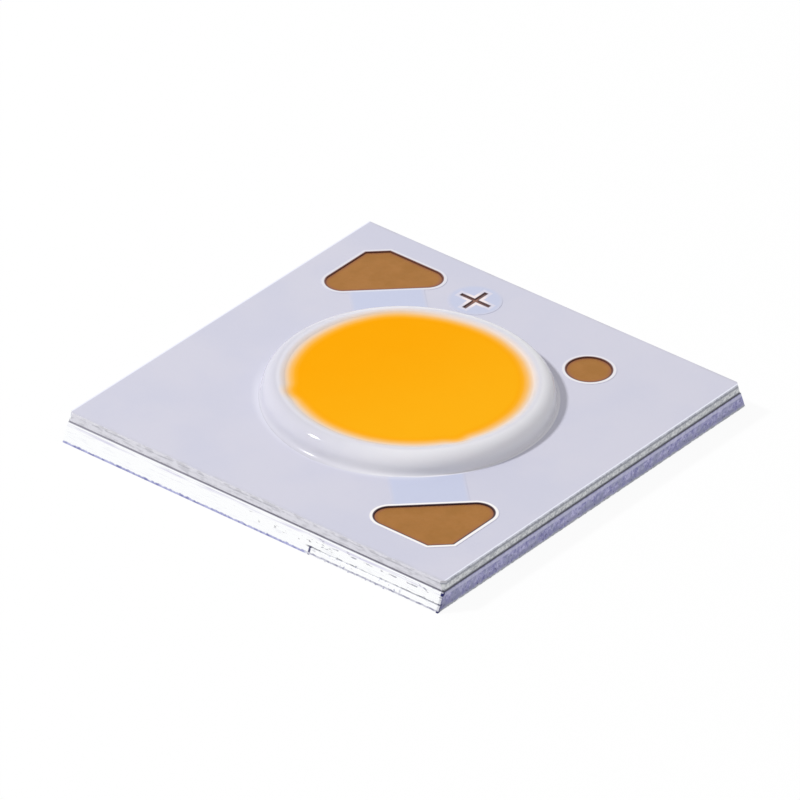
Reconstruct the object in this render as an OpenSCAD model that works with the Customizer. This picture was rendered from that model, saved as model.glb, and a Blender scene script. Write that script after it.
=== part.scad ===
// Chip-on-board LED on a square mirror-aluminium carrier, in millimetres.
//
// The carrier is a sandwich: aluminium plate, bonding film, glass-epoxy laminate, copper and a
// white solder mask. The film, laminate and mask have a round window. Blue dies stand in it on the
// bare mirror, in rows that gold wires join to two copper arcs. A white silicone dam runs round
// the window, and orange phosphor silicone fills it.
//
// The origin is the centre of the underside, and +Z points out of the light-emitting face. The two
// scored sides face -X and +X, the two sheared sides -Y and +Y.

/* [Carrier] */
// Length of the top face along X, between the scored sides
board_x = 13.6; // [11:0.1:18]
// Length of the top face along Y, between the sheared sides
board_y = 13.5; // [11:0.1:18]
// Thickness of the aluminium plate
base_t = 0.58; // [0.4:0.02:2]
// How far a scored side leans out from the top of the aluminium to its underside
score_flare = 0.24; // [0.1:0.01:0.4]
// Height of the tear groove that the snapped web leaves in a scored side
tear_z = 0.2; // [0.1:0.01:0.3]
// Depth of the tear groove
tear_depth = 0.06; // [0.02:0.01:0.1]
// Height of the tear groove's mouth
tear_gape = 0.06; // [0.02:0.01:0.1]
// Length of the tear groove, from its end of the side
tear_l = 4.6; // [2:0.1:11]
// Thickness of the bonding film between aluminium and laminate
film_t = 0.04; // [0.02:0.01:0.1]
// Thickness of the glass-epoxy laminate
laminate_t = 0.22; // [0.1:0.01:0.5]
// Cut across a worn corner at the top of the mask, along each side
wear_top = 0.15; // [0.06:0.01:0.3]
// Cut across the same corner at the top of the aluminium
wear_foot = 0.04; // [0.02:0.01:0.06]

/* [Copper and solder mask] */
// Thickness of the copper
copper_t = 0.035; // [0.018:0.001:0.07]
// Thickness of the nickel and gold plated on the bare copper
plating_t = 0.005; // [0.003:0.001:0.01]
// Thickness of the solder mask where it lies on bare laminate
mask_t = 0.06; // [0.04:0.005:0.12]
// How far the mask stands up where it runs over copper
mask_relief = 0.008; // [0.004:0.002:0.03]
// Chamfer along the mask's outer edge
mask_chamfer = 0.03; // [0.01:0.01:0.05]
// How far the copper reaches under the mask round each opening
copper_lap = 0.1; // [0.05:0.01:0.2]
// Offset of the whole circuit along X on the scored plate, a normal registration error
circuit_shift = 0.13; // [-0.2:0.01:0.2]

/* [Solder pads] */
// Bare margin between a pad's opening and the scored side
pad_margin_x = 1.07; // [0.6:0.01:2]
// Bare margin between a pad's opening and the sheared side
pad_margin_y = 1.02; // [0.6:0.01:2]
// Length of a pad's two straight sides, up to its sharp corners
pad_leg = 3.38; // [2.8:0.01:4]
// Cut across the pad's right-angled corner, along each side
pad_chamfer = 0.5; // [0.2:0.01:0.8]
// Radius of the pad's two acute corners
pad_corner_r = 0.49; // [0.2:0.01:0.6]
// Width of the copper strip from a pad to its arc
strip_w = 2.1; // [0.5:0.05:2.5]

/* [Marks] */
// Diameter of the case-temperature point
dot_d = 1.32; // [0.8:0.02:1.4]
// Direction of the case-temperature point from the centre, in degrees
dot_angle = -34.4; // [-45:0.1:-15]
// Place of the case-temperature point on the way from the dam (0) to the plate's edge (1)
dot_place = 0.305; // [0.25:0.005:0.6]
// Length of each bar of the polarity mark
plus_l = 1.02; // [0.6:0.02:1.2]
// Width of the polarity mark's bars
plus_w = 0.1; // [0.08:0.01:0.2]
// Diameter of the copper disc under the polarity mark
plus_disc_d = 1.5; // [1.3:0.05:1.6]
// Gap between the pad's copper and the disc under the polarity mark
plus_gap = 0.48; // [0.2:0.01:1]
// Place of the polarity mark on the way from the dam (0) to the scored side (1)
plus_place = 0.495; // [0.45:0.005:0.6]

/* [Dam and fill] */
// Diameter of the light-emitting surface, where the fill meets the dam
les_d = 7; // [5.5:0.1:8.5]
// Width of the dam's bead
dam_w = 0.96; // [0.8:0.02:1.2]
// Height of the dam above the solder mask
dam_h = 0.6; // [0.5:0.01:0.8]
// How far the fill's surface lies below the dam's crest
fill_drop = 0.045; // [0.02:0.005:0.1]
// Width of the dam's foot that stands on the mask
dam_on_mask = 0.57; // [0.3:0.01:0.7]
// Width of the copper arc that is bare inside the dam, where the wires land
landing_w = 0.29; // [0.2:0.01:0.5]
// Width of laminate left between the window's edge and the copper arc
arc_setback = 0.05; // [0.02:0.01:0.1]
// Radial width of the copper arc
arc_w = 1.05; // [0.8:0.05:1.1]
// Angle that each copper arc covers, in degrees
arc_span = 160; // [120:5:170]

/* [Dies and wires] */
// Length of a die, along its row
die_l = 0.56; // [0.4:0.02:0.6]
// Width of a die
die_w = 0.36; // [0.2:0.02:0.4]
// Thickness of a die
die_t = 0.15; // [0.1:0.01:0.2]
// Thickness of the adhesive bed under a die
bed_t = 0.015; // [0.01:0.005:0.03]
// How far the adhesive bed shows round a die
bed_lap = 0.02; // [0.01:0.01:0.04]
// Smallest gap between the dies and the window's edge
die_margin = 0.1; // [0.05:0.01:0.2]
// Smallest gap between two dies of a row
die_gap = 0.1; // [0.05:0.01:0.2]
// Diameter of the bond wire
wire_d = 0.03; // [0.024:0.002:0.04]
// Height of a wire's loop above its ends
wire_loop = 0.18; // [0.1:0.01:0.3]
// Diameter of the ball at each end of a wire
ball_d = 0.09; // [0.06:0.01:0.12]
// Height of that ball, pressed flat
ball_t = 0.025; // [0.02:0.005:0.04]
// Distance from a wire's ball to the end of its die
ball_inset = 0.1; // [0.08:0.01:0.15]

/* [Hidden] */

$fn = 96;
ROWS = 6;       // rows of dies, each a node of its own
CUT = 1;        // how far a cutting shape runs past what it cuts
DIAGONAL = 45;  // direction of the anode's corner, of its arc's middle and of the rows
WORN_CORNERS = [[-1, 1], [-1, -1], [1, -1]];  // by the signs of their X and Y

// levels, from the underside up
film_z = base_t;
laminate_z = film_z + film_t;
copper_z = laminate_z + laminate_t;
plating_z = copper_z + copper_t;
pad_z = plating_z + plating_t;
mask_z = copper_z + mask_t;
fill_z = mask_z + dam_h - fill_drop;

// dam: a round bead, its foot flattened on the mask
bead_r = dam_w / 2;
bead_z = mask_z + dam_h - bead_r;
bead_at = les_d / 2 + sqrt(pow(bead_r, 2) - pow(fill_z - bead_z, 2));
foot_half = sqrt(pow(bead_r, 2) - pow(bead_z - mask_z, 2));
foot_in = bead_at - foot_half;
foot_out = bead_at + foot_half;
mask_window_r = foot_out - dam_on_mask;

// copper arcs and window, from the dam's foot inwards
arc_in = foot_in - landing_w;
arc_out = arc_in + arc_w;
window_r = arc_in - arc_setback;
landing_r = arc_in + landing_w / 2;

// solder pad at the anode's corner, from the circuit's centre; a low value is where a round end sits
pad_x = board_x / 2 - pad_margin_x;
pad_y = board_y / 2 - pad_margin_y;
pad_low_x = pad_x - pad_leg + pad_corner_r * (1 + sqrt(2));
pad_low_y = pad_y - pad_leg + pad_corner_r * (1 + sqrt(2));
strip_angle = atan2(pad_y - pad_leg / 2, pad_x - pad_leg / 2);
strip_end = norm([pad_x - pad_leg / 2, pad_y - pad_leg / 2]);

// temperature point: a distance from the circuit's centre, between the dam and the plate's edge
edge_x = board_x / 2 - abs(circuit_shift);
dot_edge = min(edge_x / cos(dot_angle), board_y / 2 / max(abs(sin(dot_angle)), 0.01));
dot_at = foot_out + dot_place * (dot_edge - foot_out);

// polarity mark: below the end of the anode's pad, between the dam and the scored side
plus_y = pad_low_y - pad_corner_r - copper_lap - plus_gap - plus_disc_d / 2;
plus_dam_x = sqrt(max(0, pow(foot_out, 2) - pow(plus_y, 2)));
plus_x = plus_dam_x + plus_place * (edge_x - plus_dam_x);

// rows of dies: the four corner dies touch the circle that clears the window's edge, and every
// row has as many dies as the outermost one takes
field_r = window_r - die_margin;
row_pitch = (2 * field_r * sin(DIAGONAL) - die_w) / (ROWS - 1);
row_dies = floor((2 * row_half(1) + die_gap) / (die_l + die_gap));
die_z = base_t + bed_t;
bond_z = die_z + die_t;

// A row's distance from the middle of the array, and half the length that its dies may fill.
function row_y(row) = (row - (ROWS + 1) / 2) * row_pitch;
function row_half(row) = sqrt(pow(field_r, 2) - pow(abs(row_y(row)) + die_w / 2, 2));
function die_pitch(row) = (2 * row_half(row) - die_l) / (row_dies - 1);
function die_x(row, i) = (i - (row_dies - 1) / 2) * die_pitch(row);
function landing_x(row) = sqrt(pow(landing_r, 2) - pow(row_y(row), 2));

// Where a wire leaves die i of a row towards +X, with i = -1 for the arc at the row's start.
function wire_start(row, i) = i < 0
    ? [-landing_x(row), pad_z]
    : [die_x(row, i) + die_l / 2 - ball_inset, bond_z];

// Where that wire comes down: on the next die, or on the arc at the row's end.
function wire_end(row, i) = i + 1 < row_dies
    ? [die_x(row, i + 1) - die_l / 2 + ball_inset, bond_z]
    : [landing_x(row), pad_z];

// ---------- flat shapes, in the circuit's own plane ----------

// Solder pad: a right-angled triangle with a cut corner and two round ends, grown by some lap.
module pad_shape(lap = 0) {
    x = pad_x + lap;
    y = pad_y + lap;
    r = pad_corner_r + lap;
    tangent = r * sqrt(0.5);
    cut = pad_x + pad_y - pad_chamfer + lap * sqrt(2);
    polygon([
        [x, pad_low_y], [x, cut - x], [cut - y, y], [pad_low_x, y],
        [pad_low_x - tangent, y - r - tangent], [x - r - tangent, pad_low_y - tangent]
    ]);
    translate([x - r, pad_low_y]) circle(r);
    translate([pad_low_x, y - r]) circle(r);
}

// Strip that joins a pad to its arc, from a given distance outwards.
module strip_shape(from, lap = 0) {
    rotate(strip_angle) translate([from, -strip_w / 2 - lap])
        square([strip_end + pad_chamfer - from, strip_w + 2 * lap]);
}

// Arc round the window, its middle on the diagonal.
module arc_shape() {
    reach = 2 * arc_out;
    half = arc_span / 2;
    rotate(DIAGONAL) intersection() {
        difference() {
            circle(arc_out);
            circle(arc_in);
        }
        polygon([
            [0, 0], [reach * cos(half), -reach * sin(half)], [reach, -reach * sin(half)],
            [reach, reach * sin(half)], [reach * cos(half), reach * sin(half)]
        ]);
    }
}

module track_shape() {
    pad_shape(copper_lap);
    strip_shape((arc_in + arc_out) / 2);
    arc_shape();
}

// The part of a track that the mask leaves bare: its pad, and its arc inside the round window.
module bare_track_shape() {
    pad_shape();
    intersection() {
        arc_shape();
        circle(mask_window_r);
    }
}

module at_dot() rotate(dot_angle) translate([dot_at, 0]) children();
module at_plus() translate([plus_x, plus_y]) children();

module plus_shape() {
    square([plus_l, plus_w], center = true);
    square([plus_w, plus_l], center = true);
}

// Both ends of the circuit: the anode's as drawn, the cathode's turned half round.
module both_ends() {
    children();
    rotate(180) children();
}

// Openings in the solder mask, apart from the round window.
module opening_shapes() {
    both_ends() pad_shape();
    at_dot() circle(dot_d / 2);
    at_plus() plus_shape();
}

// Where the mask stands up over copper, outside the dam.
module relief_shapes() {
    both_ends() {
        pad_shape(copper_lap + copper_t);
        strip_shape(foot_out + copper_t, copper_t);
    }
    at_dot() circle(dot_d / 2 + copper_lap + copper_t);
    at_plus() circle(plus_disc_d / 2 + copper_t);
}

// ---------- helpers ----------

// Everything that belongs to the circuit lies a little off the plate's centre.
module on_circuit() translate([circuit_shift, 0, 0]) children();

module sheet(z, t) translate([-board_x / 2, -board_y / 2, z]) cube([board_x, board_y, t]);

module window(r, z, t) on_circuit() translate([0, 0, z - CUT]) cylinder(r = r, h = t + 2 * CUT);

module row_frame() on_circuit() rotate(DIAGONAL) children();

// Prism along Y whose section is drawn in X and Z.
module along_y(y0, length) translate([0, y0 + length, 0]) rotate([90, 0, 0])
    linear_extrude(length) children();

// Slanted cuts that take the points off the worn corners, down to the aluminium.
module worn_corners() for (side = WORN_CORNERS)
    translate([side[0] * board_x / 2, side[1] * board_y / 2, 0])
        rotate(atan2(-side[1], -side[0])) along_y(-CUT, 2 * CUT) polygon([
            [-CUT, film_z - CUT], [wear_foot * sqrt(0.5), film_z - CUT],
            [wear_foot * sqrt(0.5), film_z], [wear_top * sqrt(0.5), mask_z],
            [wear_top * sqrt(0.5), mask_z + CUT], [-CUT, mask_z + CUT]
        ]);

// ---------- carrier ----------

// Groove torn into a scored side: a wedge whose point lies inside the flank.
module tear_groove() {
    flank_x = board_x / 2 + score_flare * (base_t - tear_z) / base_t;
    half_mouth = tear_gape / 2 * (1 + CUT / tear_depth);
    along_y(board_y / 2 - tear_l, tear_l + CUT) polygon([
        [flank_x - tear_depth, tear_z],
        [flank_x + CUT, tear_z + half_mouth], [flank_x + CUT, tear_z - half_mouth]
    ]);
}

module aluminium_base() color("gainsboro") {
    top = board_x / 2;
    foot = top + score_flare;
    difference() {
        along_y(-board_y / 2, board_y)
            polygon([[-foot, 0], [foot, 0], [top, base_t], [-top, base_t]]);
        tear_groove();
        rotate(180) tear_groove();
    }
}

module bonding_film() color("dimgray") difference() {
    sheet(film_z, film_t);
    window(window_r, film_z, film_t);
    worn_corners();
}

module laminate() color("darkgray") difference() {
    sheet(laminate_z, laminate_t);
    window(window_r, laminate_z, laminate_t);
    worn_corners();
}

// ---------- circuit ----------

module layer(z, t) on_circuit() translate([0, 0, z]) linear_extrude(t) children();

// Copper with its plating: the first child is the copper's outline, the second the bare part.
module plated() {
    layer(copper_z, copper_t) children(0);
    layer(plating_z, plating_t) children(1);
}

module anode_copper() color("peru") plated() {
    track_shape();
    bare_track_shape();
}

module cathode_copper() color("peru") plated() {
    rotate(180) track_shape();
    rotate(180) bare_track_shape();
}

module temperature_pad() color("peru") plated() {
    at_dot() circle(dot_d / 2 + copper_lap);
    at_dot() circle(dot_d / 2);
}

module polarity_disc() color("peru") plated() {
    at_plus() circle(plus_disc_d / 2);
    at_plus() plus_shape();
}

// Sheet of mask with its outer edge chamfered.
module mask_sheet() {
    x = board_x / 2;
    y = board_y / 2;
    c = mask_chamfer;
    intersection() {
        along_y(-y, 2 * y) polygon([
            [-x, copper_z], [x, copper_z], [x, mask_z - c], [x - c, mask_z],
            [c - x, mask_z], [-x, mask_z - c]
        ]);
        rotate(90) along_y(-x, 2 * x) polygon([
            [-y, copper_z], [y, copper_z], [y, mask_z - c], [y - c, mask_z],
            [c - y, mask_z], [-y, mask_z - c]
        ]);
    }
}

module solder_mask() color("white") difference() {
    union() {
        mask_sheet();
        layer(copper_z, mask_t + mask_relief) relief_shapes();
    }
    window(mask_window_r, copper_z, mask_t);
    worn_corners();
    layer(copper_z - CUT, mask_t + 2 * CUT) opening_shapes();
    anode_copper();
    cathode_copper();
    temperature_pad();
    polarity_disc();
}

// ---------- dam and fill ----------

module bead_section() translate([bead_at, bead_z]) circle(bead_r);

// The arcs as the dam and the fill meet them, plated all over.
module plated_arcs() layer(copper_z, copper_t + plating_t) both_ends() arc_shape();

module dam() color("whitesmoke") difference() {
    on_circuit() rotate_extrude() {
        difference() {
            bead_section();
            translate([0, mask_z - dam_w]) square([2 * bead_at, dam_w]);
        }
        translate([foot_in, copper_z]) square([mask_window_r - foot_in, mask_z - copper_z]);
    }
    plated_arcs();
}

// Fill: down to the mirror in the window, over the arcs' bare rims and up the dam's inner side.
module phosphor_fill() color("orange") difference() {
    on_circuit() rotate_extrude() difference() {
        polygon([
            [0, base_t], [window_r, base_t], [window_r, copper_z], [foot_in, copper_z],
            [foot_in, mask_z], [bead_at, mask_z], [bead_at, fill_z], [0, fill_z]
        ]);
        bead_section();
    }
    plated_arcs();
    for (row = [1 : ROWS]) {
        die_attach_row(row);
        die_row(row);
        bond_wires_row(row);
    }
}

// ---------- dies and wires ----------

module block(x, y, z, size) translate([x - size[0] / 2, y - size[1] / 2, z]) cube(size);

module die_attach_row(row) color("ivory") row_frame() for (i = [0 : row_dies - 1])
    block(die_x(row, i), row_y(row), base_t, [die_l + 2 * bed_lap, die_w + 2 * bed_lap, bed_t]);

module die_row(row) color("lightblue") row_frame() for (i = [0 : row_dies - 1])
    block(die_x(row, i), row_y(row), die_z, [die_l, die_w, die_t]);

// One wire in the XZ plane: a round arc from a to b, with a flat ball at each end.
module bond_wire(a, b) {
    span = norm(b - a);
    loop = min(wire_loop, 0.45 * span);
    arc_r = (pow(span / 2, 2) + pow(loop, 2)) / (2 * loop);
    half = asin(span / 2 / arc_r);
    lean = atan2(b[1] - a[1], b[0] - a[0]);
    translate([(a[0] + b[0]) / 2, 0, (a[1] + b[1]) / 2 + ball_t])
        rotate([0, -lean, 0]) translate([0, 0, loop - arc_r]) rotate([90, 0, 0])
        rotate_extrude(angle = 2 * half, start = 90 - half) translate([arc_r, 0]) circle(wire_d / 2);
    for (end = [a, b]) translate([end[0], 0, end[1]]) cylinder(d = ball_d, h = ball_t);
}

module bond_wires_row(row) color("gold") row_frame() translate([0, row_y(row), 0])
    for (i = [-1 : row_dies - 1]) bond_wire(wire_start(row, i), wire_end(row, i));

aluminium_base();
bonding_film();
laminate();
anode_copper();
cathode_copper();
temperature_pad();
polarity_disc();
solder_mask();
dam();
phosphor_fill();
die_attach_row(1);  // die_attach_row_1
die_attach_row(2);  // die_attach_row_2
die_attach_row(3);  // die_attach_row_3
die_attach_row(4);  // die_attach_row_4
die_attach_row(5);  // die_attach_row_5
die_attach_row(6);  // die_attach_row_6
die_row(1);  // die_row_1
die_row(2);  // die_row_2
die_row(3);  // die_row_3
die_row(4);  // die_row_4
die_row(5);  // die_row_5
die_row(6);  // die_row_6
bond_wires_row(1);  // bond_wires_row_1
bond_wires_row(2);  // bond_wires_row_2
bond_wires_row(3);  // bond_wires_row_3
bond_wires_row(4);  // bond_wires_row_4
bond_wires_row(5);  // bond_wires_row_5
bond_wires_row(6);  // bond_wires_row_6
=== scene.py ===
"""The looks of a chip-on-board LED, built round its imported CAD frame.

Lengths are in millimetres, and MM turns them into the frame's metres. Most patterns are drawn in
circuit coordinates: the circuit's own centre lies a little off the plate's, where the frame has it.
Colours are written as they look on a screen, 0 to 255.
"""

import math

import bpy
from mathutils import Matrix, Vector, noise


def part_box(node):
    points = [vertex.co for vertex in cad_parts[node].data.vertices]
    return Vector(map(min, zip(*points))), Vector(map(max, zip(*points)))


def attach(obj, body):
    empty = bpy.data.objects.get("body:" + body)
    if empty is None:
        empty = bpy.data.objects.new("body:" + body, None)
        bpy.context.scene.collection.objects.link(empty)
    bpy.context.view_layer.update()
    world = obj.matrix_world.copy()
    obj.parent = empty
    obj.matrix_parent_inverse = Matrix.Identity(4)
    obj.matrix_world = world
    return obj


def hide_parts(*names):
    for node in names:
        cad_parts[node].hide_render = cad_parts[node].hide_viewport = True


MM = 0.001

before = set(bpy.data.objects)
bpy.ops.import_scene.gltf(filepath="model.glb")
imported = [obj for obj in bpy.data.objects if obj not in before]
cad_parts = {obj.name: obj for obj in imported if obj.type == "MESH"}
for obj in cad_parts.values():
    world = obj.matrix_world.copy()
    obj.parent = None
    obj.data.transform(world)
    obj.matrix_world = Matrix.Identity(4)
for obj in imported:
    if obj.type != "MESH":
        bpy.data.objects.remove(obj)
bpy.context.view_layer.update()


def box(node):
    """Lowest and highest corner of a CAD node, in millimetres."""
    low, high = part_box(node)
    return low / MM, high / MM


def middle(node):
    """Centre of a CAD node's box, in millimetres."""
    low, high = box(node)
    return (low + high) / 2


# ---------- sizes that the frame gives ----------

BOARD_LOW, BOARD_HIGH = box("laminate")
HALF_X = BOARD_HIGH.x
HALF_Y = BOARD_HIGH.y
FILM_LOW, FILM_HIGH = box("bonding_film")
COPPER_HIGH = box("anode_copper")[1]
PLATE_FOOT = box("aluminium_base")[1].x
CENTRE = middle("dam")
DAM_HIGH = box("dam")[1]
FILL_LOW, FILL_HIGH = box("phosphor_fill")
DOT = middle("temperature_pad") - CENTRE
PLUS = middle("polarity_disc") - CENTRE
PLUS_DISC_R = (box("polarity_disc")[1].x - box("polarity_disc")[0].x) / 2
OPENING_LAP = 0.1
DOT_R = (box("temperature_pad")[1].x - box("temperature_pad")[0].x) / 2 - OPENING_LAP
PAD_X = COPPER_HIGH.x - CENTRE.x - OPENING_LAP
PAD_Y = COPPER_HIGH.y - CENTRE.y - OPENING_LAP

# ---------- sizes that only the CAD source names ----------

MASK_T = 0.06
PAD_LEG = 3.38
PAD_CHAMFER = 0.5
PAD_CORNER_R = 0.49
STRIP_W = 2.1
PLUS_L = 1.02
PLUS_W = 0.1
BEAD_R = 0.48
BEAD_ON_MASK = 0.57
WINDOW_R = 2.9
TEAR_Z = 0.2
TEAR_L = 4.6

MASK_Z = BOARD_HIGH.z + MASK_T
FILL_Z = FILL_HIGH.z
FILL_R = FILL_HIGH.x - CENTRE.x
DAM_R = DAM_HIGH.x - CENTRE.x
BEAD_AT = DAM_R - BEAD_R
BEAD_Z = DAM_HIGH.z - BEAD_R
FOOT_HALF = math.sqrt(BEAD_R**2 - (BEAD_Z - MASK_Z) ** 2)
FOOT_OUT = BEAD_AT + FOOT_HALF
FOOT_IN = BEAD_AT - FOOT_HALF

# ---------- fields: numbers, points and colours that vary over a surface ----------


def colour(red, green, blue):
    """A screen colour, 0 to 255, as the linear RGBA that a socket takes."""
    shares = [c / 255 for c in (red, green, blue)]
    linear = [c / 12.92 if c <= 0.04045 else ((c + 0.055) / 1.055) ** 2.4 for c in shares]
    return (*linear, 1)


# Sockets of a Mix node that blends colours, by number: their names repeat for each data type.
MIX_SHARE, MIX_UNDER, MIX_OVER, MIX_RESULT = 0, 6, 7, 2


def feed(tree, value, socket):
    """Links a field to a socket, or sets a plain value on it."""
    if isinstance(value, Field):
        tree.links.new(value.socket, socket)
    else:
        socket.default_value = value


class Field:
    """An output socket in a material's tree."""

    def __init__(self, tree, socket):
        self.tree = tree
        self.socket = socket


class Number(Field):
    """A number that varies over a surface."""

    def math(self, operation, *others):
        node = self.tree.nodes.new("ShaderNodeMath")
        node.operation = operation
        for slot, value in zip(node.inputs, (self, *others)):
            feed(self.tree, value, slot)
        return Number(self.tree, node.outputs[0])

    def __add__(self, other):
        return self.math("ADD", other)

    def __sub__(self, other):
        return self.math("SUBTRACT", other)

    def __mul__(self, other):
        return self.math("MULTIPLY", other)

    def __abs__(self):
        return self.math("ABSOLUTE")

    def low(self, *others):
        """The lowest of several numbers."""
        least = self
        for other in others:
            least = least.math("MINIMUM", other)
        return least

    def high(self, *others):
        """The highest of several numbers."""
        most = self
        for other in others:
            most = most.math("MAXIMUM", other)
        return most

    def rise(self, start, end):
        """0 up to start, 1 from end on, and a smooth slope between. It falls where start > end."""
        node = self.tree.nodes.new("ShaderNodeMapRange")
        node.interpolation_type = "SMOOTHSTEP"
        feed(self.tree, self, node.inputs["Value"])
        node.inputs["From Min"].default_value = start
        node.inputs["From Max"].default_value = end
        return Number(self.tree, node.outputs["Result"])

    def band(self, centre, half, soft):
        """1 within half of centre, fading to 0 over soft on both sides."""
        return abs(self - centre).rise(half + soft, half)

    def tint(self, under, over):
        """under where this number is 0, over where it is 1."""
        node = self.tree.nodes.new("ShaderNodeMix")
        node.data_type = "RGBA"
        feed(self.tree, self, node.inputs[MIX_SHARE])
        feed(self.tree, under, node.inputs[MIX_UNDER])
        feed(self.tree, over, node.inputs[MIX_OVER])
        return Field(self.tree, node.outputs[MIX_RESULT])

    def ramp(self, *stops):
        """A colour from (position, colour) stops, with straight blends between them."""
        first, last = stops[0][0], stops[-1][0]
        node = self.tree.nodes.new("ShaderNodeValToRGB")
        elements = node.color_ramp.elements
        while len(elements) < len(stops):
            elements.new(1)
        for element, (position, shade) in zip(elements, stops):
            element.position = (position - first) / (last - first)
            element.color = shade
        feed(self.tree, (self - first) * (1 / (last - first)), node.inputs["Fac"])
        return Field(self.tree, node.outputs["Color"])


class Point(Field):
    """A point, or a direction, that varies over a surface."""

    def vector(self, operation, other):
        node = self.tree.nodes.new("ShaderNodeVectorMath")
        node.operation = operation
        feed(self.tree, self, node.inputs[0])
        feed(self.tree, other, node.inputs["Scale" if operation == "SCALE" else 1])
        return node

    def scaled(self, factor):
        return Point(self.tree, self.vector("SCALE", factor).outputs[0])

    def stretched(self, x, y, z):
        return Point(self.tree, self.vector("MULTIPLY", (x, y, z)).outputs[0])

    def moved(self, offset):
        return Point(self.tree, self.vector("ADD", tuple(offset)).outputs[0])

    def dot(self, x, y, z=0):
        return Number(self.tree, self.vector("DOT_PRODUCT", (x, y, z)).outputs["Value"])

    def distance(self, x, y, z=0):
        return Number(self.tree, self.vector("DISTANCE", (x, y, z)).outputs["Value"])

    def noise(self, size, detail=2, roughness=0.5):
        """Cloudy noise from 0 to 1 whose lumps are about size across."""
        node = self.tree.nodes.new("ShaderNodeTexNoise")
        feed(self.tree, self, node.inputs["Vector"])
        node.inputs["Scale"].default_value = 1 / size
        node.inputs["Detail"].default_value = detail
        node.inputs["Roughness"].default_value = roughness
        return Number(self.tree, node.outputs[0])


class Paint:
    """A material: one Principled shader with its constants set on its own sockets."""

    def __init__(self, name, **constants):
        self.material = bpy.data.materials.new(name)
        self.material.use_nodes = True
        self.tree = self.material.node_tree
        self.shader = self.tree.nodes["Principled BSDF"]
        for socket, value in constants.items():
            self.shader.inputs[socket.replace("_", " ")].default_value = value
        coordinates = self.tree.nodes.new("ShaderNodeTexCoord")
        self.place = Point(self.tree, coordinates.outputs["Object"]).scaled(1 / MM)
        self.facing = Point(self.tree, coordinates.outputs["Normal"])
        self.circuit = self.place.moved(-CENTRE).stretched(1, 1, 0)

    def drive(self, **fields):
        """Links fields to the shader's sockets."""
        for socket, field in fields.items():
            feed(self.tree, field, self.shader.inputs[socket.replace("_", " ")])
        return self

    def on_sheared(self):
        """1 where the surface faces out of a sheared side, 0 where it faces out of a scored one."""
        return abs(self.facing.dot(0, 1)).rise(0.4, 0.6)

    def relief(self, height, depth):
        """Bumps that rise by depth where height is 1."""
        node = self.tree.nodes.new("ShaderNodeBump")
        node.inputs["Distance"].default_value = depth * MM
        feed(self.tree, height, node.inputs["Height"])
        self.tree.links.new(node.outputs["Normal"], self.shader.inputs["Normal"])
        return self


# ---------- outlines on the circuit, as distances from them: below 0 inside ----------

# Cosine of 45 degrees, for directions along the board's diagonals.
DIAGONAL = math.sqrt(0.5)


def pad_outline(circuit):
    """Distance from the nearer solder pad's opening. One pad is the other turned half round."""
    side = circuit.dot(1, 1).math("SIGN")
    spot = circuit.scaled(side)
    low_x = PAD_X - PAD_LEG + PAD_CORNER_R * (1 + 2 * DIAGONAL)
    low_y = PAD_Y - PAD_LEG + PAD_CORNER_R * (1 + 2 * DIAGONAL)
    ends = (
        spot.distance(PAD_X - PAD_CORNER_R, low_y) - PAD_CORNER_R,
        spot.distance(low_x, PAD_Y - PAD_CORNER_R) - PAD_CORNER_R,
    )
    eighth = math.radians(22.5)
    across, along = math.cos(eighth), math.sin(eighth)
    body = (spot.dot(1, 0) - PAD_X).high(
        spot.dot(0, 1) - PAD_Y,
        spot.dot(DIAGONAL, DIAGONAL) - (PAD_X + PAD_Y - PAD_CHAMFER) * DIAGONAL,
        spot.dot(-DIAGONAL, -DIAGONAL) + (PAD_X + PAD_Y - PAD_LEG) * DIAGONAL,
        spot.dot(-across, along) + (low_x * across - PAD_Y * along),
        spot.dot(along, -across) + (low_y * across - PAD_X * along),
    )
    return body.low(*ends)


def plus_outline(circuit):
    """Distance from the polarity mark's two bars."""
    spot = circuit.moved(-PLUS)
    x, y = abs(spot.dot(1, 0)), abs(spot.dot(0, 1))
    lying = (x - PLUS_L / 2).high(y - PLUS_W / 2)
    standing = (x - PLUS_W / 2).high(y - PLUS_L / 2)
    return lying.low(standing)


def opening_outline(circuit):
    """Distance from the nearest solder pad's or temperature point's opening in the mask."""
    return pad_outline(circuit).low(circuit.distance(DOT.x, DOT.y) - DOT_R)


def covered_copper(circuit):
    """1 where the mask runs over copper outside the dam: both strips and the polarity disc."""
    strips = (abs(circuit.dot(-DIAGONAL, DIAGONAL)) - STRIP_W / 2).high(
        abs(circuit.dot(DIAGONAL, DIAGONAL)) - (PAD_X + PAD_Y - PAD_LEG) * DIAGONAL
    )
    disc = circuit.distance(PLUS.x, PLUS.y) - PLUS_DISC_R
    return strips.low(disc).rise(0.1, -0.1)


def near_cathode(circuit):
    """0 at the anode's corner of the board, 1 at the cathode's."""
    return circuit.dot(-1, -1).rise(-4, 4)


# ---------- the fill's outline and its soft edge ----------

# Where the fill's edge leaves its circle: direction in degrees, how far out, half the spread.
FILL_BUMPS = ((142, 0.12, 9), (-118, 0.1, 8), (49, 0.1, 36))
STAIN_R = FILL_R - 0.15


def fill_bump(angle):
    """How far out the fill's edge lies in a direction, in degrees, for building the meshes."""
    total = 0
    for centre, reach, spread in FILL_BUMPS:
        away = abs((angle - centre + 180) % 360 - 180) / spread
        total += reach * max(0, 1 - away) ** 2 * (1 + 2 * min(1, away))
    return total


def fill_outline(circuit):
    """Distance from the fill's visible edge, bumps included, for the materials."""
    x, y = circuit.dot(1, 0), circuit.dot(0, 1)
    angle = y.math("ARCTAN2", x) * math.degrees(1)
    outline = circuit.distance(0, 0) - STAIN_R
    for centre, reach, spread in FILL_BUMPS:
        outline = outline - abs(angle - centre).rise(spread, 0) * reach
    return outline


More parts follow.
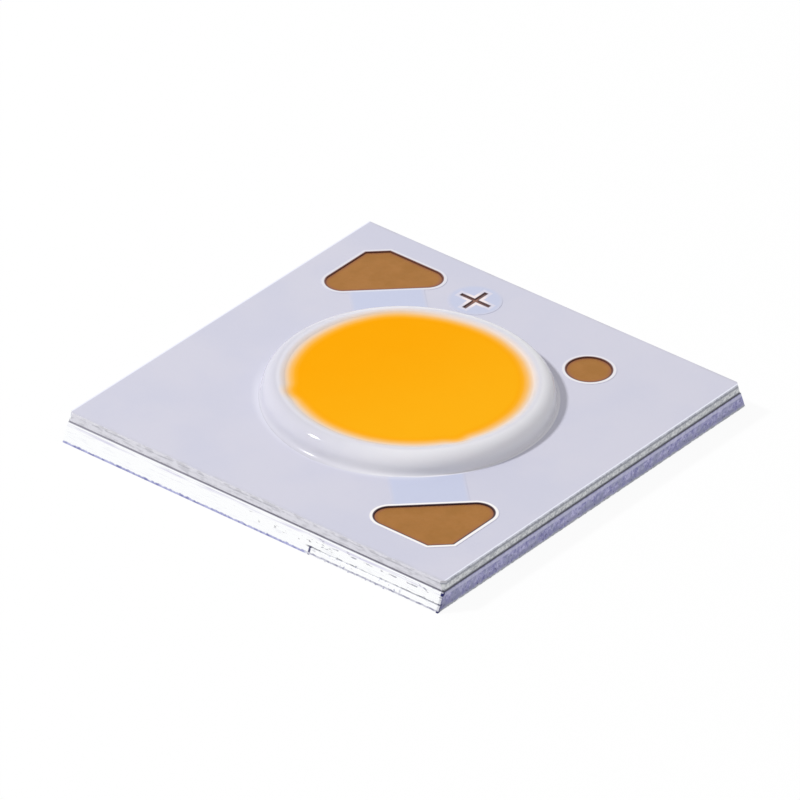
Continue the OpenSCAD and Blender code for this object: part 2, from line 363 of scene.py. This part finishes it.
def fill_colour(paint):
    """Phosphor orange, paling over the soft edge to the dam's white."""
    outline = fill_outline(paint.circuit)
    wander = paint.place.noise(0.9, 2) - 0.5
    return (outline + wander * 0.06).ramp(
        (-3.5, colour(254, 168, 0)),
        (-0.24, colour(254, 169, 2)),
        (-0.12, colour(254, 178, 40)),
        (0.0, colour(251, 192, 104)),
        (0.1, colour(244, 208, 166)),
        (0.2, colour(236, 220, 211)),
        (0.34, colour(223, 221, 230)),
    )


# ---------- materials ----------


def mask_openings(top, paint):
    """Painted highlights as pale rims, and painted shade as dark lines and dark walls, round the
    pads, the temperature point and the plus.
    """
    circuit = paint.circuit
    near = near_cathode(circuit)
    opening = opening_outline(circuit)
    # Painted highlight: a pale rim round each opening, stronger towards the cathode's corner.
    rim = opening.band(0.072, 0.02, 0.04) * (near * 0.6 + 0.4)
    top = rim.tint(top, colour(253, 250, 248))
    # Painted shade: a dark line on the mask at each opening's edge, darker towards the cathode's
    # corner.
    line = near.tint(colour(122, 82, 70), colour(78, 54, 58))
    top = opening.rise(0.045, 0.02).tint(top, line)
    # Painted shade: the openings' walls are darkened.
    wall = paint.facing.dot(0, 0, 1).rise(0.7, 0.4) * opening.rise(0.05, 0.02)
    top = (wall * 0.3).tint(top, colour(62, 42, 42))
    plus = plus_outline(circuit)
    inner = circuit.distance(PLUS.x, PLUS.y).rise(PLUS_L / 2, PLUS_L / 4)
    # Painted highlight: a pale rim round the plus, stronger near its middle.
    top = (plus.band(0.065, 0.03, 0.04) * (inner * 0.6 + 0.3)).tint(top, colour(253, 240, 238))
    # Painted shade: dark along the plus's edges.
    return plus.rise(0.03, 0.01).tint(top, colour(112, 92, 93))


def mask_round_dam(top, circuit):
    """A painted highlight along the front of the dam's foot, and a paler zone to its left: painted
    light thrown back onto the mask by the dam.
    """
    foot = circuit.distance(0, 0) - FOOT_OUT
    front = circuit.dot(-0.2, -1).rise(0.5, 3.5)
    # Painted highlight: a bright line just outside the dam's foot, along its front.
    top = (foot.band(0.09, 0.02, 0.03) * front * 0.8).tint(top, colour(244, 243, 248))
    # Painted light: a paler zone on the mask left of the dam, as light thrown back from it.
    left = circuit.dot(-1, 0.25).rise(1.5, 4)
    return (foot.rise(0.36, 0.1) * left * 0.8).tint(top, colour(224, 224, 235))


def mask_edges(top, paint):
    """The board's edge: on sheared sides a painted highlight along the rim and on the chamfer, over
    a mottled wall; wear on scored sides, whose chamfer is painted darker than their wall as shade.
    """
    place = paint.place
    from_sheared = abs(place.dot(0, 1)) * -1 + HALF_Y
    # Painted highlight: a bright rim along the sheared sides' top edge.
    top = from_sheared.rise(0.085, 0.055).tint(top, colour(238, 240, 252))
    from_scored = abs(place.dot(1, 0)) * -1 + HALF_X
    worn = place.stretched(1, 0.35, 1).noise(0.16, 3).rise(0.45, 0.68)
    top = (from_scored.rise(0.16, 0.02) * (worn * 0.5 + 0.2)).tint(top, colour(196, 195, 203))

    outside = from_sheared.low(from_scored).rise(0.3, 0.2)
    on_chamfer = place.dot(0, 0, 1).rise(BOARD_HIGH.z + 0.02, BOARD_HIGH.z + 0.045)
    lean_y = abs(paint.facing.dot(0, 1)).rise(0.5, 0.65)
    mottle = place.noise(0.12, 3).rise(0.35, 0.65)
    wall = mottle.tint(colour(138, 141, 150), colour(180, 183, 190))
    # Painted highlight: the sheared sides' chamfer is painted much paler than their wall.
    chamfer = mottle.tint(colour(206, 208, 222), colour(238, 240, 252))
    top = (lean_y * outside).tint(top, on_chamfer.tint(wall, chamfer))
    lean_x = abs(paint.facing.dot(1, 0)).rise(0.5, 0.65)
    dashes = place.stretched(1, 0.35, 1).noise(0.12, 3).rise(0.46, 0.6)
    wall = dashes.tint(colour(211, 210, 218), colour(190, 189, 197))
    # Painted shade: the scored sides' chamfer is painted darker than their wall.
    chamfer = dashes.tint(colour(200, 199, 207), colour(184, 183, 190))
    return (lean_x * outside).tint(top, on_chamfer.tint(wall, chamfer))


def mask_paint():
    """White solder mask, faintly tinted over copper."""
    paint = Paint("white_solder_mask", Roughness=0.5, Specular_IOR_Level=0.25)
    clouds = paint.place.noise(2.4, 3).rise(0.35, 0.65)
    top = clouds.tint(colour(207, 207, 223), colour(211, 210, 224))
    top = covered_copper(paint.circuit).tint(top, colour(200, 205, 228))
    top = mask_openings(top, paint)
    top = mask_round_dam(top, paint.circuit)
    paint.drive(Base_Color=mask_edges(top, paint))
    return paint.relief(paint.place.noise(0.35, 3), 0.002).material


def laminate_paint():
    """Glass-epoxy laminate, cut: faint dashes on the scored sides, mottled on the sheared."""
    paint = Paint("glass_epoxy", Roughness=0.6, Specular_IOR_Level=0.3)
    place = paint.place
    from_top = place.dot(0, 0, -1) + BOARD_HIGH.z
    from_foot = place.dot(0, 0, 1) - BOARD_LOW.z
    fibres = place.stretched(1, 0.3, 1).noise(0.1, 3).rise(0.46, 0.64)
    scored = fibres.tint(colour(213, 212, 220), colour(194, 193, 201))
    dashes = place.stretched(1, 0.35, 1).noise(0.12, 3).rise(0.46, 0.58)
    scored = (from_top.rise(0.05, 0.02) * dashes).tint(scored, colour(180, 180, 188))
    scored = (from_foot.rise(0.03, 0.005) * 0.5).tint(scored, colour(136, 134, 146))

    mottle = place.noise(0.11, 4, 0.7).rise(0.36, 0.62)
    sheared = mottle.tint(colour(190, 193, 198), colour(236, 238, 240))
    darker = place.noise(0.07, 2).rise(0.56, 0.7)
    sheared = (darker * 0.6).tint(sheared, colour(148, 152, 160))
    ragged = place.noise(0.12, 2) * 0.05
    sheared = (from_top - ragged).rise(0.03, 0).tint(sheared, colour(170, 173, 184))
    ragged = place.noise(0.1, 3) * 0.04
    sheared = (from_foot - ragged).rise(0.02, -0.01).tint(sheared, colour(140, 142, 152))
    paint.drive(Base_Color=paint.on_sheared().tint(scored, sheared))
    return paint.relief(place.noise(0.08, 3), 0.008).material


def film_paint():
    """Dark bonding film in a crisp line, darker towards one end of the scored sides."""
    paint = Paint("bonding_film", Roughness=0.55, Specular_IOR_Level=0.3)
    place = paint.place
    lumps = place.noise(0.16, 3).rise(0.35, 0.7)
    sheared = lumps.tint(colour(34, 34, 46), colour(76, 76, 90))
    upper = place.dot(0, 0, 1).rise(FILM_LOW.z + 0.02, FILM_HIGH.z)
    sheared = upper.tint(sheared, colour(150, 152, 160))
    along = place.dot(0, 1).rise(HALF_Y, -HALF_Y / 3)
    scored = along.tint(colour(132, 130, 142), colour(88, 86, 98))
    scored = (lumps * 0.4).tint(scored, colour(130, 128, 140))
    paint.drive(Base_Color=paint.on_sheared().tint(scored, sheared))
    return paint.material


def tear_marks(shade, place, along, torn):
    """The snapped stretch: its torn line, darkened as painted shade in its groove, scratches, a
    dashed line above it and ticks below.
    """
    z = place.dot(0, 0, 1)
    wander = place.stretched(1, 1, 0).noise(0.5, 2) * 0.05
    # Painted shade: the torn line is darkened where its groove runs.
    tear = (z - wander + 0.01).band(TEAR_Z, 0.012, 0.016)
    broken = place.stretched(1, 0.6, 1).noise(0.3, 3).rise(0.42, 0.54)
    shade = (tear * torn * broken).tint(shade, colour(92, 92, 110))
    scratches = place.stretched(1, 0.3, 1).noise(0.09, 3).rise(0.62, 0.7)
    shade = (scratches * torn * z.rise(0.1, 0.2) * 0.7).tint(shade, colour(140, 140, 156))
    dashes = place.stretched(1, 0.4, 1).noise(0.16, 3).rise(0.55, 0.63)
    upper = z.band(0.42, 0.01, 0.016) * torn
    shade = (dashes * upper * 0.7).tint(shade, colour(136, 136, 154))
    ticks = place.stretched(1, 1, 0.2).noise(0.09, 2).rise(0.6, 0.68)
    below = z.rise(TEAR_Z + 0.04, TEAR_Z - 0.02)
    ticked = along.band(4, 1.1, 0.4)
    shade = (ticks * below * ticked).tint(shade, colour(130, 132, 178))
    tick = along.band(HALF_Y - TEAR_L, 0.02, 0.03)
    return (tick * below).tint(shade, colour(84, 84, 120))


def scored_aluminium(place):
    """Colours of a scored side: a near mirror, torn along one end, with a ragged foot painted blue
    and grey as shade on its rounded bottom edge.
    """
    z = place.dot(0, 0, 1)
    top = FILM_LOW.z
    along = place.dot(0, 1) * place.dot(1, 0).math("SIGN")
    torn = along.rise(HALF_Y - TEAR_L - 0.2, HALF_Y - TEAR_L)
    streaks = place.stretched(1, 0.12, 1).noise(0.05, 3).rise(0.52, 0.74)
    shade = (streaks * 0.3).tint(colour(253, 254, 255), colour(222, 222, 236))
    smears = place.stretched(1, 0.08, 1).noise(0.09, 2).rise(0.3, 0.7)
    shade = (z.band(top - 0.09, 0.015, 0.04) * smears * 0.9).tint(shade, colour(214, 211, 232))
    shade = z.rise(top - 0.025, top - 0.005).tint(shade, colour(176, 174, 190))
    smudges = place.stretched(1, 0.4, 1).noise(0.1, 3).rise(0.6, 0.68)
    middle = z.band(0.32, 0.06, 0.06) * along.band(1.2, 1.2, 0.8)
    shade = (middle * smudges).tint(shade, colour(176, 176, 180))

    shade = tear_marks(shade, place, along, torn)
    ragged = place.stretched(1, 1, 0).noise(0.16, 4, 0.6) * 0.1
    foot = (z - ragged).rise(0.02, -0.012)
    knots = place.stretched(1, 1, 0).noise(0.2, 3).rise(0.4, 0.65)
    # Painted shade: a blue band along the ragged foot where the bottom edge rounds off.
    blue = knots.tint(colour(182, 184, 222), colour(130, 132, 182))
    shade = (foot * (torn * -1 + 1)).tint(shade, blue)
    # Painted shade: a grey line along the foot of the torn stretch.
    grey = knots.tint(colour(206, 206, 218), colour(150, 150, 172))
    line = (z - ragged * 0.5).band(0.02, 0.012, 0.02)
    return (line * torn).tint(shade, grey)


def sheared_aluminium(place):
    """Colours of a sheared side: blue-violet, blotched and pitted, with a grey ragged burr."""
    z = place.dot(0, 0, 1)
    top = FILM_LOW.z
    grain = place.stretched(1, 1, 0.8).noise(0.1, 5, 0.72).rise(0.34, 0.66)
    shade = grain.tint(colour(122, 121, 166), colour(184, 182, 214))
    patches = place.noise(0.34, 3).rise(0.45, 0.62)
    shade = (patches * 0.55).tint(shade, colour(146, 149, 172))
    pits = place.noise(0.09, 3).rise(0.57, 0.68)
    shade = (pits * z.rise(0.5, 0.1) * 0.9).tint(shade, colour(82, 82, 108))
    lip = (z + place.noise(0.2, 3) * 0.05).band(top - 0.08, 0.03, 0.04)
    shade = (lip * 0.7).tint(shade, colour(190, 190, 212))
    shade = z.rise(top - 0.045, top - 0.02).tint(shade, colour(96, 96, 112))
    shade = (z.band(0.15, 0.03, 0.06) * grain * 0.5).tint(shade, colour(96, 96, 124))
    burr = (z - place.noise(0.16, 4, 0.6) * 0.14).rise(0.03, -0.02)
    shade = burr.tint(shade, colour(158, 160, 168))
    notches = (z - place.stretched(1, 1, 0).noise(0.14, 4, 0.6) * 0.12).rise(-0.03, -0.05)
    return notches.tint(shade, colour(232, 233, 236))


def aluminium_paint():
    """Aluminium: scored sides almost a mirror, sheared sides rough, dark accents on one corner."""
    paint = Paint("mirror_aluminium", Metallic=1)
    place = paint.place
    z = place.dot(0, 0, 1)
    flat = abs(paint.facing.dot(0, 0, 1)).rise(0.8, 0.95)
    rolled = place.stretched(1, 0.06, 1).noise(0.06, 3).rise(0.35, 0.7)
    underside = rolled.tint(colour(216, 217, 220), colour(232, 233, 236))
    sheared = paint.on_sheared()
    sides = sheared.tint(scored_aluminium(place), sheared_aluminium(place))
    flank = abs(place.dot(1, 0)) + z * ((PLATE_FOOT - HALF_X) / FILM_LOW.z) - PLATE_FOOT
    corner = flank.rise(-0.12, -0.06) * (abs(place.dot(0, 1)) - HALF_Y).rise(-0.1, -0.05)
    corner = corner * place.dot(-1, -1).rise(HALF_X, HALF_X + HALF_Y - 1)
    spots = z.band(0.5, 0.03, 0.03).high(z.band(TEAR_Z, 0.02, 0.03), z.band(0, 0.03, 0.03))
    sides = (corner * (spots * 0.7 + 0.3)).tint(sides, colour(34, 36, 96))
    roughness = sheared * 0.36 + flat * 0.2 + place.noise(0.15) * 0.1 + 0.1
    paint.drive(Base_Color=flat.tint(sides, underside), Roughness=roughness)
    rough_grain = place.noise(0.06, 4) * (sheared * 0.9 + 0.1)
    return paint.relief(rough_grain, 0.01).material


def gold_paint():
    """Gold-plated copper: brown-gold, redder and then dark with painted shade at the mask, brown in
    the plus with painted shade along its narrow bars.
    """
    paint = Paint("plated_copper", Metallic=1)
    place, circuit = paint.place, paint.circuit
    mottle = place.noise(0.5, 4, 0.6).rise(0.3, 0.7)
    shade = mottle.tint(colour(164, 113, 54), colour(172, 119, 61))
    specks = place.noise(0.09, 2).rise(0.66, 0.76)
    shade = (specks * 0.25).tint(shade, colour(142, 98, 56))
    opening = opening_outline(circuit)
    warm = opening.rise(-0.16, -0.04) * (place.noise(0.3, 2).rise(0.35, 0.65) * 0.6 + 0.4)
    shade = (warm * 0.7).tint(shade, colour(156, 100, 78))
    # Painted shade: a dark line where the copper meets the mask's edge, darker towards the
    # cathode's corner.
    line = near_cathode(circuit).tint(colour(126, 82, 68), colour(88, 60, 62))
    shade = opening.rise(-0.045, -0.02).tint(shade, line)
    arms = circuit.distance(PLUS.x, PLUS.y)
    # Painted shade: the plus's copper darkens out along its narrow bars and is paler at their
    # crossing.
    plus_painted_shade = arms.rise(0.05, 0.3).tint(colour(152, 112, 98), colour(128, 102, 100))
    shade = arms.rise(PLUS_DISC_R + 0.05, PLUS_DISC_R).tint(shade, plus_painted_shade)
    paint.drive(Base_Color=shade, Roughness=place.noise(0.2, 3) * 0.15 + 0.38)
    return paint.relief(place.noise(0.12, 4), 0.003).material


def dam_paint():
    """White silicone: glossy, milky where it is bare, stained where the fill creeps up it, with
    painted shade greyer towards the key light and painted light whiter away from it.
    """
    paint = Paint(
        "dam_silicone",
        Specular_IOR_Level=0.16,
        Subsurface_Radius=(1, 0.95, 0.95),
        Subsurface_Scale=0.5 * MM,
    )
    place, circuit = paint.place, paint.circuit
    # Painted light and shade: the dam is greyer on the side towards the key light and whiter on the
    # side away from it, with some random unevenness.
    towards_key_painted_shade = circuit.dot(-0.62, 0.79) + place.noise(1.5, 2)
    white = towards_key_painted_shade.rise(0.2, 4.4).tint(colour(235, 234, 240), colour(203, 202, 213))
    radius = circuit.distance(0, 0)
    outside = radius.rise(BEAD_AT, BEAD_AT + 0.12)
    above_foot = place.dot(0, 0, 1).rise(MASK_Z + 0.05, MASK_Z + 0.2)
    bare = radius.rise(FILL_R, FILL_R + 0.15) * above_foot
    paint.drive(
        Roughness=above_foot * -0.1 + 0.18,
        Base_Color=outside.tint(fill_colour(paint), white),
        Subsurface_Weight=bare * 0.7,
    )
    return paint.relief(place.noise(0.6, 2), 0.004).material


def fill_paint():
    """Phosphor silicone: matt orange, a little paler away from the anode's corner."""
    paint = Paint("phosphor_silicone", Roughness=0.5, Specular_IOR_Level=0.01)
    place = paint.place
    orange = fill_colour(paint)
    paler = paint.circuit.dot(-0.3, -1).rise(-3.5, 3.5) * 0.8 + place.noise(0.8, 2) * 0.2
    inside = fill_outline(paint.circuit).rise(-0.1, -0.35)
    orange = (paler * inside).tint(orange, colour(254, 180, 20))
    paint.drive(Base_Color=orange)
    return paint.relief(place.noise(1.1, 3), 0.003).material


def die_paint():
    """Blue-grey sapphire die."""
    paint = Paint("sapphire_die", Roughness=0.25, Specular_IOR_Level=0.5)
    facets = paint.place.noise(0.1, 2).rise(0.3, 0.7)
    paint.drive(Base_Color=facets.tint(colour(120, 140, 190), colour(150, 168, 208)))
    return paint.material


def bed_paint():
    """Clear die-attach silicone over the mirror."""
    paint = Paint("die_attach_silicone", Roughness=0.3, Specular_IOR_Level=0.5)
    clouds = paint.place.noise(0.12, 2).rise(0.3, 0.7)
    paint.drive(Base_Color=clouds.tint(colour(224, 222, 212), colour(236, 234, 226)))
    return paint.material


def wire_paint():
    """Drawn gold wire."""
    paint = Paint("gold_wire", Metallic=1)
    drawn = paint.place.noise(0.03, 2)
    paint.drive(
        Base_Color=drawn.rise(0.3, 0.7).tint(colour(226, 178, 88), colour(240, 198, 112)),
        Roughness=drawn * 0.15 + 0.2,
    )
    return paint.material


def paint_frame():
    """Gives every carried-over CAD node its material."""
    paints = {
        "aluminium_base": aluminium_paint(),
        "bonding_film": film_paint(),
        "laminate": laminate_paint(),
        "solder_mask": mask_paint(),
    }
    gold, die, bed, wire = gold_paint(), die_paint(), bed_paint(), wire_paint()
    by_start = {"die_row": die, "die_attach": bed, "bond_wires": wire}
    for name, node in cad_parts.items():
        material = paints.get(name, gold)
        for start, shared in by_start.items():
            if name.startswith(start):
                material = shared
        node.data.materials.clear()
        node.data.materials.append(material)


# ---------- cast pieces: the dam and the fill ----------

# Steps round a turned piece, the angle in degrees from which its edges are sharp, and how
# quickly the unevenness changes round it.
TURN = 288
SHARP = 35
WAVE_PACE = 1.3


def add_object(name, data):
    """A new object with this data, in the scene."""
    thing = bpy.data.objects.new(name, data)
    bpy.context.scene.collection.objects.link(thing)
    return thing


def turned(name, section, closed, shape, material):
    """A piece turned round the circuit's centre.

    section lists (radius, height) points. It is a ring if closed, or else runs from the axis back
    to the axis. shape(angle, radius, height) returns the radius and height that a point gets.
    """
    rows = section if closed else section[1:-1]
    points = []
    for step in range(TURN):
        angle = 360 * step / TURN
        for radius, height in rows:
            r, z = shape(angle, radius, height)
            turn = math.radians(angle)
            points.append((CENTRE.x + r * math.cos(turn), CENTRE.y + r * math.sin(turn), z))
    count = len(rows)
    faces = []
    for step in range(TURN):
        here, there = step * count, (step + 1) % TURN * count
        for i in range(count if closed else count - 1):
            j = (i + 1) % count
            faces.append((here + i, there + i, there + j, here + j))
    if not closed:
        for end, row in ((0, 0), (-1, count - 1)):
            pole = len(points)
            points.append((CENTRE.x, CENTRE.y, shape(0, 0, section[end][1])[1]))
            for step in range(TURN):
                here, there = step * count + row, (step + 1) % TURN * count + row
                faces.append((pole, there, here) if end == 0 else (pole, here, there))
    mesh = bpy.data.meshes.new(name)
    mesh.from_pydata([Vector(p) * MM for p in points], [], faces)
    mesh.materials.append(material)
    mesh.polygons.foreach_set("use_smooth", [True] * len(mesh.polygons))
    mesh.set_sharp_from_angle(angle=math.radians(SHARP))
    mesh.update()
    return add_object(name, mesh)


def wave(angle, slice_at, reach):
    """Slow unevenness of hand-fed silicone, within reach either way. Each slice differs."""
    turn = math.radians(angle)
    return reach * noise.noise(Vector((math.cos(turn), math.sin(turn), slice_at)) * WAVE_PACE)


DAM_WANDER = 0.03
DAM_SINK = 0.012
SINK_WANDER = 0.03
SINK_SLICE = 7
# Where the dam's foot wets the mask: the direction and half the spread in degrees, the least
# and the greatest width, and the height up to which the foot spreads.
WET_AT = 180
WET_SPREAD = 62
WET_LEAST = 0.05
WET_MOST = 0.23
WET_H = 0.24


def dam_sink(angle):
    """How far the dam's crest has sunk in a direction, as a share of the dam's height."""
    return DAM_SINK + abs(wave(angle, SINK_SLICE, SINK_WANDER))


def dam_shape(angle, radius, height):
    """The dam's bead as it was laid: it wanders a little, sinks a little and wets the mask."""
    above = max(0, height - MASK_Z)
    r = radius + wave(angle, 0, DAM_WANDER)
    if radius > BEAD_AT and height >= MASK_Z:
        away = abs((angle - WET_AT + 180) % 360 - 180) / WET_SPREAD
        wet = WET_LEAST + (WET_MOST - WET_LEAST) * max(0, 1 - away)
        share = min(1, above / WET_H)
        r += wet * (1 - math.sqrt(1 - (1 - share) ** 2))
    return r, height - above * dam_sink(angle)


def dam_inside(angle, radius):
    """Height of the dam's inner side at a radius."""
    away = BEAD_AT + wave(angle, 0, DAM_WANDER) - radius
    height = BEAD_Z + math.sqrt(max(0, BEAD_R**2 - away**2))
    return height - (height - MASK_Z) * dam_sink(angle)


def build_dam(material):
    """The dam: a bead whose rows are closest at the foot, where it wets the mask."""
    foot_rows, arc = 12, 48
    section = []
    for i in range(foot_rows):
        z = MASK_Z + WET_H * (i / foot_rows) ** 2
        section.append((BEAD_AT + math.sqrt(BEAD_R**2 - (z - BEAD_Z) ** 2), z))
    start = math.asin((MASK_Z + WET_H - BEAD_Z) / BEAD_R)
    sweep = math.pi - start - math.asin((MASK_Z - BEAD_Z) / BEAD_R)
    for i in range(arc + 1):
        turn = start + sweep * i / arc
        section.append((BEAD_AT + BEAD_R * math.cos(turn), BEAD_Z + BEAD_R * math.sin(turn)))
    foot_z = COPPER_HIGH.z
    step_at = FOOT_OUT - BEAD_ON_MASK
    section += [(FOOT_IN, foot_z), (step_at, foot_z), (step_at, MASK_Z)]
    piece = turned("dam_bead", section, True, dam_shape, material)
    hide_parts("dam")
    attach(piece, "root")


FILL_SAG = 0.012
FILL_BLEND = 0.02
FILL_CREEP = 0.05
FILL_RIPPLE = 0.003
FILL_LIP = 0.06
TUCK = 0.01


def fill_shape(angle, radius, height):
    """The fill's surface sags, ripples faintly and runs up the dam, where its edge is tucked in."""
    if height < FILL_Z:
        return radius, height
    share = radius / FILL_R
    r = radius + (FILL_CREEP + fill_bump(angle)) * share**12
    turn = math.radians(angle)
    ripple = noise.noise(Vector((radius * math.cos(turn), radius * math.sin(turn), 0)))
    level = height - FILL_SAG * (1 - share**2)
    level = level + FILL_RIPPLE * ripple * min(1, radius) - 0.5 * FILL_BLEND
    gap = dam_inside(angle, r) - level
    run_up = 0.5 * (gap + math.sqrt(gap**2 + FILL_BLEND**2))
    return r, level + run_up - TUCK * share**40


def build_fill(material):
    """The fill: it stands in the window and against the dam. Its rings are closest at the edge."""
    rings = 44
    top = [(FILL_R * math.sin(math.pi / 2 * i / rings), FILL_Z) for i in range(rings + 1)]
    well = [(0, FILL_LOW.z), (WINDOW_R, FILL_LOW.z), (WINDOW_R, COPPER_HIGH.z)]
    wall = [(FOOT_IN, COPPER_HIGH.z), (FOOT_IN, MASK_Z), (FOOT_IN, BEAD_Z)]
    lip = [(FILL_R - FILL_LIP, FILL_Z - FILL_LIP)]
    section = well + wall + lip + top[::-1]
    piece = turned("phosphor_cast", section, False, fill_shape, material)
    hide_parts("phosphor_fill")
    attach(piece, "root")


# ---------- studio ----------

CAMERA_AZIMUTH = -52.373
CAMERA_ELEVATION = 32.384
CAMERA_ROLL = 1.638
CAMERA_DISTANCE = 345.9
CAMERA_AIM = Vector((-0.0741, 0.1473, 0.7869))
CAMERA_LENS = 550.4
SENSOR_WIDTH = 36
CLIP_START = 10

KEY_AZIMUTH = 126
KEY_ELEVATION = 45
KEY_DISTANCE = 400
KEY_SIZE = 40
KEY_LEVEL = 0.485
SKY_LEVEL = 0.515
FLOOR_LIFT = 0.93
FLOOR_HALF = 500
FLOOR_DROP = 0.01


def direction(azimuth, elevation):
    """Unit vector towards a compass direction counted from +X, and an elevation, in degrees."""
    a, e = math.radians(azimuth), math.radians(elevation)
    return Vector((math.cos(a) * math.cos(e), math.sin(a) * math.cos(e), math.sin(e)))


def build_camera():
    """The camera that took the photo, as worked out from the board's outline."""
    back = direction(CAMERA_AZIMUTH - 90, CAMERA_ELEVATION)
    right = (-back).cross(Vector((0, 0, 1))).normalized()
    up = right.cross(-back)
    roll = math.radians(CAMERA_ROLL)
    x_axis = right * math.cos(roll) + up * math.sin(roll)
    y_axis = up * math.cos(roll) - right * math.sin(roll)
    data = bpy.data.cameras.new("camera")
    data.sensor_width = SENSOR_WIDTH
    data.lens = CAMERA_LENS
    data.clip_start = CLIP_START * MM
    camera = add_object("camera", data)
    place = Matrix.Translation((CAMERA_AIM + back * CAMERA_DISTANCE) * MM)
    turn = Matrix((x_axis, y_axis, back)).transposed().to_4x4()
    camera.matrix_world = place @ turn
    bpy.context.scene.camera = camera


def build_key():
    """A square softbox. Its power gives a level surface KEY_LEVEL of the light that shows white."""
    towards = direction(KEY_AZIMUTH, KEY_ELEVATION)
    data = bpy.data.lights.new("key", "AREA")
    data.size = KEY_SIZE * MM
    distance = KEY_DISTANCE * MM
    data.energy = KEY_LEVEL * math.pi * math.pi * distance**2 / towards.z
    lamp = add_object("key", data)
    lamp.location = CAMERA_AIM * MM + towards * distance
    lamp.rotation_mode = "QUATERNION"
    lamp.rotation_quaternion = towards.to_track_quat("Z", "Y")


def shown_ray(tree):
    """1 for rays that see the background itself, in the camera, in metal or through glass."""
    path = tree.nodes.new("ShaderNodeLightPath")
    seen = Number(tree, path.outputs["Is Camera Ray"])
    glossy = Number(tree, path.outputs["Is Glossy Ray"])
    return seen.high(glossy, Number(tree, path.outputs["Is Transmission Ray"]))


def build_world():
    """A white surround that lights with SKY_LEVEL and shows as full white."""
    world = bpy.data.worlds.new("studio")
    world.use_nodes = True
    background = world.node_tree.nodes["Background"]
    background.inputs["Color"].default_value = (1, 1, 1, 1)
    strength = shown_ray(world.node_tree) * (1 - SKY_LEVEL) + SKY_LEVEL
    feed(world.node_tree, strength, background.inputs["Strength"])
    bpy.context.scene.world = world


def floor_material():
    """White paper that keeps the object's shadow and shows as white. From below it is clear."""
    material = bpy.data.materials.new("paper_floor")
    material.use_nodes = True
    tree = material.node_tree
    tree.nodes.remove(tree.nodes["Principled BSDF"])
    paper = tree.nodes.new("ShaderNodeBsdfDiffuse")
    paper.inputs["Color"].default_value = colour(253, 253, 253)
    glow = tree.nodes.new("ShaderNodeEmission")
    lifted = tree.nodes.new("ShaderNodeMixShader")
    feed(tree, shown_ray(tree) * FLOOR_LIFT, lifted.inputs[0])
    tree.links.new(paper.outputs[0], lifted.inputs[1])
    tree.links.new(glow.outputs[0], lifted.inputs[2])
    clear = tree.nodes.new("ShaderNodeBsdfTransparent")
    geometry = tree.nodes.new("ShaderNodeNewGeometry")
    sided = tree.nodes.new("ShaderNodeMixShader")
    tree.links.new(geometry.outputs["Backfacing"], sided.inputs[0])
    tree.links.new(lifted.outputs[0], sided.inputs[1])
    tree.links.new(clear.outputs[0], sided.inputs[2])
    tree.links.new(sided.outputs[0], tree.nodes["Material Output"].inputs["Surface"])
    return material


def build_floor():
    """The paper under the object. It belongs to the stage, not to the part."""
    half = FLOOR_HALF * MM
    drop = -FLOOR_DROP * MM
    mesh = bpy.data.meshes.new("floor")
    corners = [(-half, -half, drop), (half, -half, drop), (half, half, drop), (-half, half, drop)]
    mesh.from_pydata(corners, [], [(0, 1, 2, 3)])
    mesh.materials.append(floor_material())
    floor = add_object("floor", mesh)


paint_frame()
build_dam(dam_paint())
build_fill(fill_paint())
build_camera()
build_key()
build_world()
build_floor()
bpy.context.scene.view_settings.view_transform = "Standard"

bpy.context.view_layer.update()
